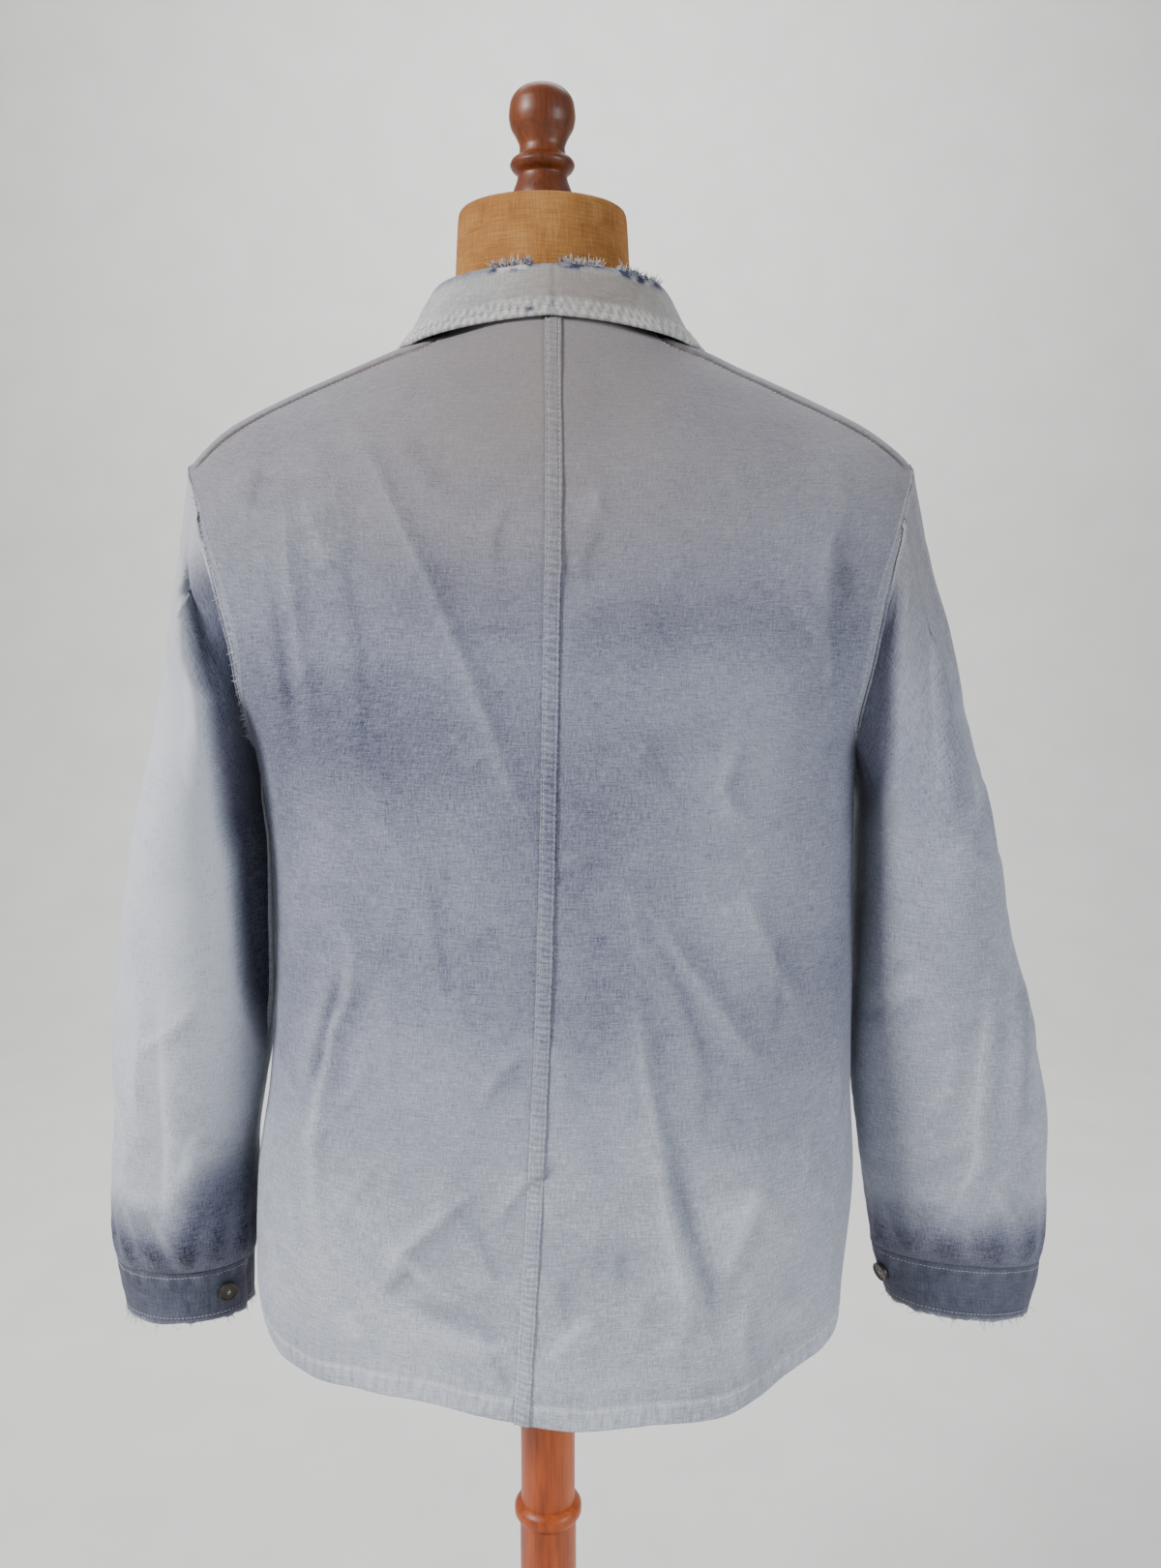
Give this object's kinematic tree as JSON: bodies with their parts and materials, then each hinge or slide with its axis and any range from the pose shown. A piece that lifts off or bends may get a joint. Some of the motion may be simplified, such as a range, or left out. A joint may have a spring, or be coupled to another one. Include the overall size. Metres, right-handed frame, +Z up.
{
  "type": "chore jacket on dress form",
  "caption": "Worn cotton work jacket with turned-over collar, buttoned cuffs and patch pockets, standing on a limbless linen dress form with a turned finial, pole and round base.",
  "frame": {"origin": "centre of the base's underside, on the surface that the stand rests on", "axes": "+Z up along the pole, the jacket's back faces -Y and its buttoned front +Y, +X is the wearer's right"},
  "size_m": [0.7252, 0.36, 1.6195],
  "materials": {
    "jacket_cotton": "sun-faded blue-grey cotton twill, matt",
    "seam_cotton": "worn cotton, paler along felled and topstitched edges",
    "cuff_cotton": "less faded blue-violet cotton, frayed lower edge",
    "form_linen": "tight tan linen, plain weave",
    "stand_wood": "varnished orange-brown turned wood, semi-gloss",
    "button_horn": "dark olive-brown, dull sheen"
  },
  "bodies": {
    "root": {"back_left": "jacket_cotton", "back_right": "jacket_cotton", "front_left": "jacket_cotton", "front_right": "jacket_cotton", "centre_back_seam": "seam_cotton", "sleeve_left": "jacket_cotton", "sleeve_right": "jacket_cotton", "cuff_left": "cuff_cotton", "cuff_right": "cuff_cotton", "sleeve_placket_left": "cuff_cotton", "sleeve_placket_right": "cuff_cotton", "pocket_left": "jacket_cotton", "pocket_right": "jacket_cotton", "collar": "seam_cotton", "button_1": "button_horn", "button_2": "button_horn", "button_3": "button_horn", "button_4": "button_horn", "button_5": "button_horn", "cuff_button_left": "button_horn", "cuff_button_right": "button_horn", "form_torso": "form_linen", "finial": "stand_wood", "pole": "stand_wood", "base": "stand_wood"}
  },
  "joints": []
}
